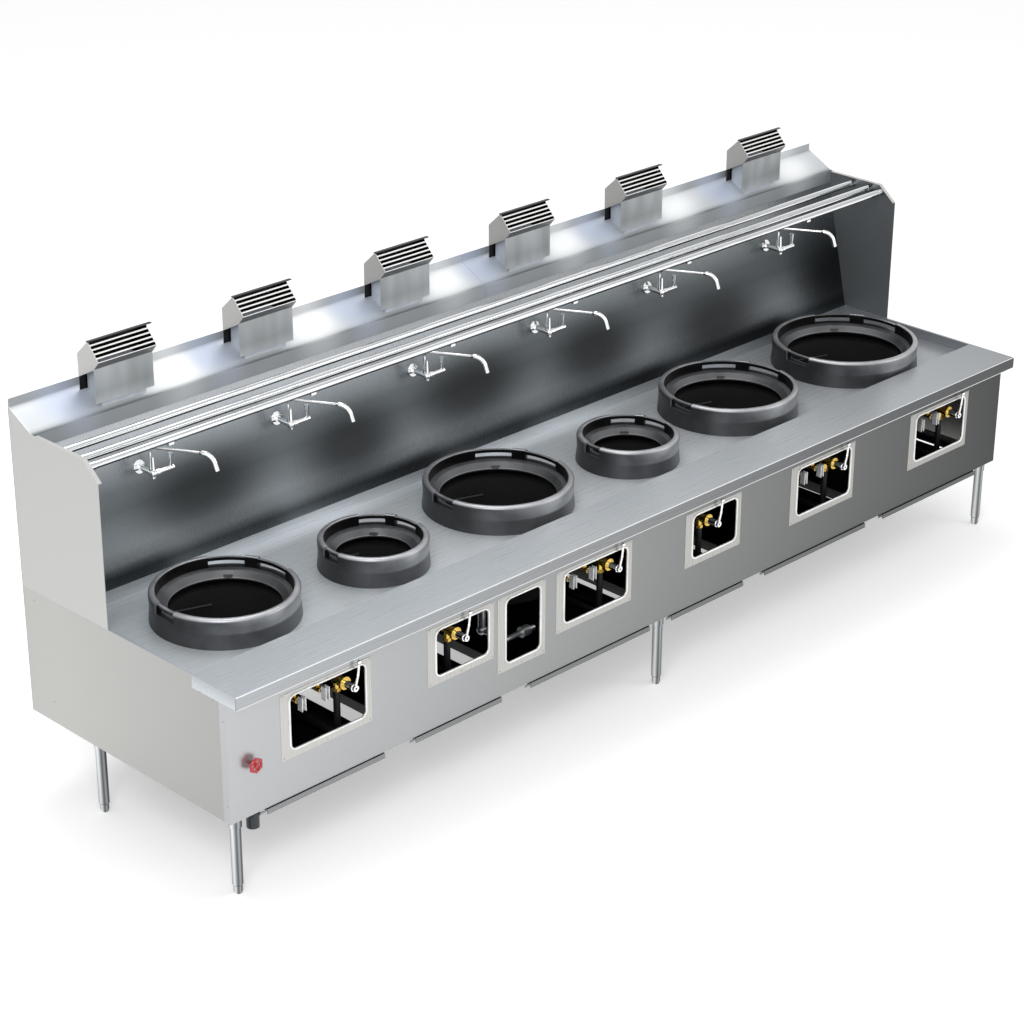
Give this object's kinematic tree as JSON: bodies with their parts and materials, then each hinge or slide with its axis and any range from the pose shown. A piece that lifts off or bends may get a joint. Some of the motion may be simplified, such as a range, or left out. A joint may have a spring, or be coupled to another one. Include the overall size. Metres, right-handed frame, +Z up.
{
  "type": "wok range",
  "caption": "Long stainless wok range with cast burner rings, leaning splash panel, swing faucets, flue hoods and drip trays.",
  "frame": {"origin": "bottom centre of the range, on the floor under the middle of its box", "axes": "+X along the range to the right as seen from the cook's side, +Y to the back, +Z up"},
  "size_m": [4.52, 1.228, 1.74],
  "materials": {
    "side_steel": "satin warm light grey stainless sheet",
    "wing_steel": "satin warm light grey stainless sheet",
    "front_steel": "brushed stainless sheet, grain along the length",
    "frame_steel": "satin stainless plate with a bright rolled bead",
    "deck_steel": "satin stainless plate",
    "splash_steel": "brushed stainless sheet with soft dark reflections",
    "flashing_steel": "satin stainless sheet",
    "rail_chrome": "polished stainless tube",
    "back_steel": "plain stainless sheet",
    "frame_paint": "black painted angle steel",
    "leg_chrome": "polished stainless tube",
    "flue_paint": "satin stainless sheet",
    "collar_steel": "heat darkened sheet steel",
    "pipe_black": "dark gas pipe",
    "valve_brass": "cast and machined brass",
    "burner_iron": "dark cast iron and black pipe",
    "chamber_black": "soot black steel",
    "faucet_chrome": "polished chrome plating",
    "drain_steel": "bright pipe",
    "ring_iron": "graphite cast iron with a machined sheen",
    "lever_chrome": "polished chrome plating",
    "tray_steel": "stainless sheet",
    "pilot_white": "bright plated steel",
    "wheel_red": "gloss red enamel"
  },
  "bodies": {
    "range_body": {"side_panel_left": "side_steel", "side_panel_right": "side_steel", "splash_wing_left": "wing_steel", "splash_wing_right": "wing_steel", "front_panel": "front_steel", "window_frames": "frame_steel", "deck": "deck_steel", "splash_panel": "splash_steel", "rear_flashing": "flashing_steel", "rail_tubes": "rail_chrome", "back_panel": "back_steel", "base_frame": "frame_paint", "legs": "leg_chrome", "flue_boxes": "flue_paint", "flue_collars": "collar_steel", "gas_manifold": "pipe_black", "gas_valves": "valve_brass", "burners": "burner_iron", "combustion_chambers": "chamber_black", "faucet_bodies": "faucet_chrome", "drain": "drain_steel", "wok_ring_1": "ring_iron", "wok_ring_2": "ring_iron", "wok_ring_3": "ring_iron", "wok_ring_4": "ring_iron", "wok_ring_5": "ring_iron", "wok_ring_6": "ring_iron"},
    "faucet_spout_1": {"faucet_spout_1": "faucet_chrome"},
    "faucet_spout_2": {"faucet_spout_2": "faucet_chrome"},
    "faucet_spout_3": {"faucet_spout_3": "faucet_chrome"},
    "faucet_spout_4": {"faucet_spout_4": "faucet_chrome"},
    "faucet_spout_5": {"faucet_spout_5": "faucet_chrome"},
    "faucet_spout_6": {"faucet_spout_6": "faucet_chrome"},
    "faucet_handle_1": {"faucet_handle_1": "faucet_chrome"},
    "faucet_handle_2": {"faucet_handle_2": "faucet_chrome"},
    "faucet_handle_3": {"faucet_handle_3": "faucet_chrome"},
    "faucet_handle_4": {"faucet_handle_4": "faucet_chrome"},
    "faucet_handle_5": {"faucet_handle_5": "faucet_chrome"},
    "faucet_handle_6": {"faucet_handle_6": "faucet_chrome"},
    "gas_lever_1": {"gas_lever_1": "lever_chrome"},
    "gas_lever_2": {"gas_lever_2": "lever_chrome"},
    "gas_lever_3": {"gas_lever_3": "lever_chrome"},
    "gas_lever_4": {"gas_lever_4": "lever_chrome"},
    "gas_lever_5": {"gas_lever_5": "lever_chrome"},
    "gas_lever_6": {"gas_lever_6": "lever_chrome"},
    "pilot_handle_1": {"pilot_handle_1": "pilot_white"},
    "pilot_handle_2": {"pilot_handle_2": "pilot_white"},
    "pilot_handle_3": {"pilot_handle_3": "pilot_white"},
    "pilot_handle_4": {"pilot_handle_4": "pilot_white"},
    "pilot_handle_5": {"pilot_handle_5": "pilot_white"},
    "pilot_handle_6": {"pilot_handle_6": "pilot_white"},
    "pilot_handle_7": {"pilot_handle_7": "pilot_white"},
    "pilot_handle_8": {"pilot_handle_8": "pilot_white"},
    "drip_tray_1": {"drip_tray_1": "tray_steel"},
    "drip_tray_2": {"drip_tray_2": "tray_steel"},
    "drip_tray_3": {"drip_tray_3": "tray_steel"},
    "drip_tray_4": {"drip_tray_4": "tray_steel"},
    "drip_tray_5": {"drip_tray_5": "tray_steel"},
    "drip_tray_6": {"drip_tray_6": "tray_steel"},
    "main_gas_handwheel": {"main_gas_handwheel": "wheel_red"}
  },
  "joints": [
    {"name": "spout_swing_1", "type": "hinge", "parent": "range_body", "child": "faucet_spout_1", "pos_m": [-1.83196, 0.36586, 1.262], "axis": [0, 0, 1], "range_deg": [-120, 60]},
    {"name": "spout_swing_2", "type": "hinge", "parent": "range_body", "child": "faucet_spout_2", "pos_m": [-1.17158, 0.36586, 1.262], "axis": [0, 0, 1], "range_deg": [-120, 60]},
    {"name": "spout_swing_3", "type": "hinge", "parent": "range_body", "child": "faucet_spout_3", "pos_m": [-0.45607, 0.36586, 1.262], "axis": [0, 0, 1], "range_deg": [-120, 60]},
    {"name": "spout_swing_4", "type": "hinge", "parent": "range_body", "child": "faucet_spout_4", "pos_m": [0.24498, 0.36586, 1.262], "axis": [0, 0, 1], "range_deg": [-120, 60]},
    {"name": "spout_swing_5", "type": "hinge", "parent": "range_body", "child": "faucet_spout_5", "pos_m": [0.94604, 0.36586, 1.262], "axis": [0, 0, 1], "range_deg": [-120, 60]},
    {"name": "spout_swing_6", "type": "hinge", "parent": "range_body", "child": "faucet_spout_6", "pos_m": [1.75195, 0.36586, 1.262], "axis": [0, 0, 1], "range_deg": [-120, 60]},
    {"name": "faucet_handle_turn_1", "type": "hinge", "parent": "range_body", "child": "faucet_handle_1", "pos_m": [-1.76196, 0.35186, 1.236], "axis": [1, 0, 0], "range_deg": [0, 90]},
    {"name": "faucet_handle_turn_2", "type": "hinge", "parent": "range_body", "child": "faucet_handle_2", "pos_m": [-1.10158, 0.35186, 1.236], "axis": [1, 0, 0], "range_deg": [0, 90]},
    {"name": "faucet_handle_turn_3", "type": "hinge", "parent": "range_body", "child": "faucet_handle_3", "pos_m": [-0.38607, 0.35186, 1.236], "axis": [1, 0, 0], "range_deg": [0, 90]},
    {"name": "faucet_handle_turn_4", "type": "hinge", "parent": "range_body", "child": "faucet_handle_4", "pos_m": [0.31498, 0.35186, 1.236], "axis": [1, 0, 0], "range_deg": [0, 90]},
    {"name": "faucet_handle_turn_5", "type": "hinge", "parent": "range_body", "child": "faucet_handle_5", "pos_m": [1.01604, 0.35186, 1.236], "axis": [1, 0, 0], "range_deg": [0, 90]},
    {"name": "faucet_handle_turn_6", "type": "hinge", "parent": "range_body", "child": "faucet_handle_6", "pos_m": [1.82195, 0.35186, 1.236], "axis": [1, 0, 0], "range_deg": [0, 90]},
    {"name": "gas_lever_turn_1", "type": "hinge", "parent": "range_body", "child": "gas_lever_1", "pos_m": [-1.68786, -0.52, 0.645], "axis": [0, 1, 0], "range_deg": [-90, 0]},
    {"name": "gas_lever_turn_2", "type": "hinge", "parent": "range_body", "child": "gas_lever_2", "pos_m": [-1.13814, -0.52, 0.645], "axis": [0, 1, 0], "range_deg": [-90, 0]},
    {"name": "gas_lever_turn_3", "type": "hinge", "parent": "range_body", "child": "gas_lever_3", "pos_m": [-0.3052, -0.52, 0.645], "axis": [0, 1, 0], "range_deg": [-90, 0]},
    {"name": "gas_lever_turn_4", "type": "hinge", "parent": "range_body", "child": "gas_lever_4", "pos_m": [0.28612, -0.52, 0.645], "axis": [0, 1, 0], "range_deg": [-90, 0]},
    {"name": "gas_lever_turn_5", "type": "hinge", "parent": "range_body", "child": "gas_lever_5", "pos_m": [1.10414, -0.52, 0.645], "axis": [0, 1, 0], "range_deg": [-90, 0]},
    {"name": "gas_lever_turn_6", "type": "hinge", "parent": "range_body", "child": "gas_lever_6", "pos_m": [1.92181, -0.52, 0.645], "axis": [0, 1, 0], "range_deg": [-90, 0]},
    {"name": "pilot_handle_turn_1", "type": "hinge", "parent": "range_body", "child": "pilot_handle_1", "pos_m": [-1.88986, -0.49, 0.64], "axis": [0, 1, 0], "range_deg": [0, 90]},
    {"name": "pilot_handle_turn_2", "type": "hinge", "parent": "range_body", "child": "pilot_handle_2", "pos_m": [-1.77986, -0.49, 0.64], "axis": [0, 1, 0], "range_deg": [0, 90]},
    {"name": "pilot_handle_turn_3", "type": "hinge", "parent": "range_body", "child": "pilot_handle_3", "pos_m": [-0.5072, -0.49, 0.64], "axis": [0, 1, 0], "range_deg": [0, 90]},
    {"name": "pilot_handle_turn_4", "type": "hinge", "parent": "range_body", "child": "pilot_handle_4", "pos_m": [-0.3972, -0.49, 0.64], "axis": [0, 1, 0], "range_deg": [0, 90]},
    {"name": "pilot_handle_turn_5", "type": "hinge", "parent": "range_body", "child": "pilot_handle_5", "pos_m": [0.90214, -0.49, 0.64], "axis": [0, 1, 0], "range_deg": [0, 90]},
    {"name": "pilot_handle_turn_6", "type": "hinge", "parent": "range_body", "child": "pilot_handle_6", "pos_m": [1.01214, -0.49, 0.64], "axis": [0, 1, 0], "range_deg": [0, 90]},
    {"name": "pilot_handle_turn_7", "type": "hinge", "parent": "range_body", "child": "pilot_handle_7", "pos_m": [1.71981, -0.49, 0.64], "axis": [0, 1, 0], "range_deg": [0, 90]},
    {"name": "pilot_handle_turn_8", "type": "hinge", "parent": "range_body", "child": "pilot_handle_8", "pos_m": [1.82981, -0.49, 0.64], "axis": [0, 1, 0], "range_deg": [0, 90]},
    {"name": "drip_tray_slide_1", "type": "slide", "parent": "range_body", "child": "drip_tray_1", "axis": [0, -1, 0], "range_m": [0, 0.55]},
    {"name": "drip_tray_slide_2", "type": "slide", "parent": "range_body", "child": "drip_tray_2", "axis": [0, -1, 0], "range_m": [0, 0.55]},
    {"name": "drip_tray_slide_3", "type": "slide", "parent": "range_body", "child": "drip_tray_3", "axis": [0, -1, 0], "range_m": [0, 0.55]},
    {"name": "drip_tray_slide_4", "type": "slide", "parent": "range_body", "child": "drip_tray_4", "axis": [0, -1, 0], "range_m": [0, 0.55]},
    {"name": "drip_tray_slide_5", "type": "slide", "parent": "range_body", "child": "drip_tray_5", "axis": [0, -1, 0], "range_m": [0, 0.55]},
    {"name": "drip_tray_slide_6", "type": "slide", "parent": "range_body", "child": "drip_tray_6", "axis": [0, -1, 0], "range_m": [0, 0.55]},
    {"name": "main_gas_turn", "type": "hinge", "parent": "range_body", "child": "main_gas_handwheel", "pos_m": [-2.156, -0.576, 0.522], "axis": [0, 1, 0], "range_deg": [0, 1080]}
  ]
}
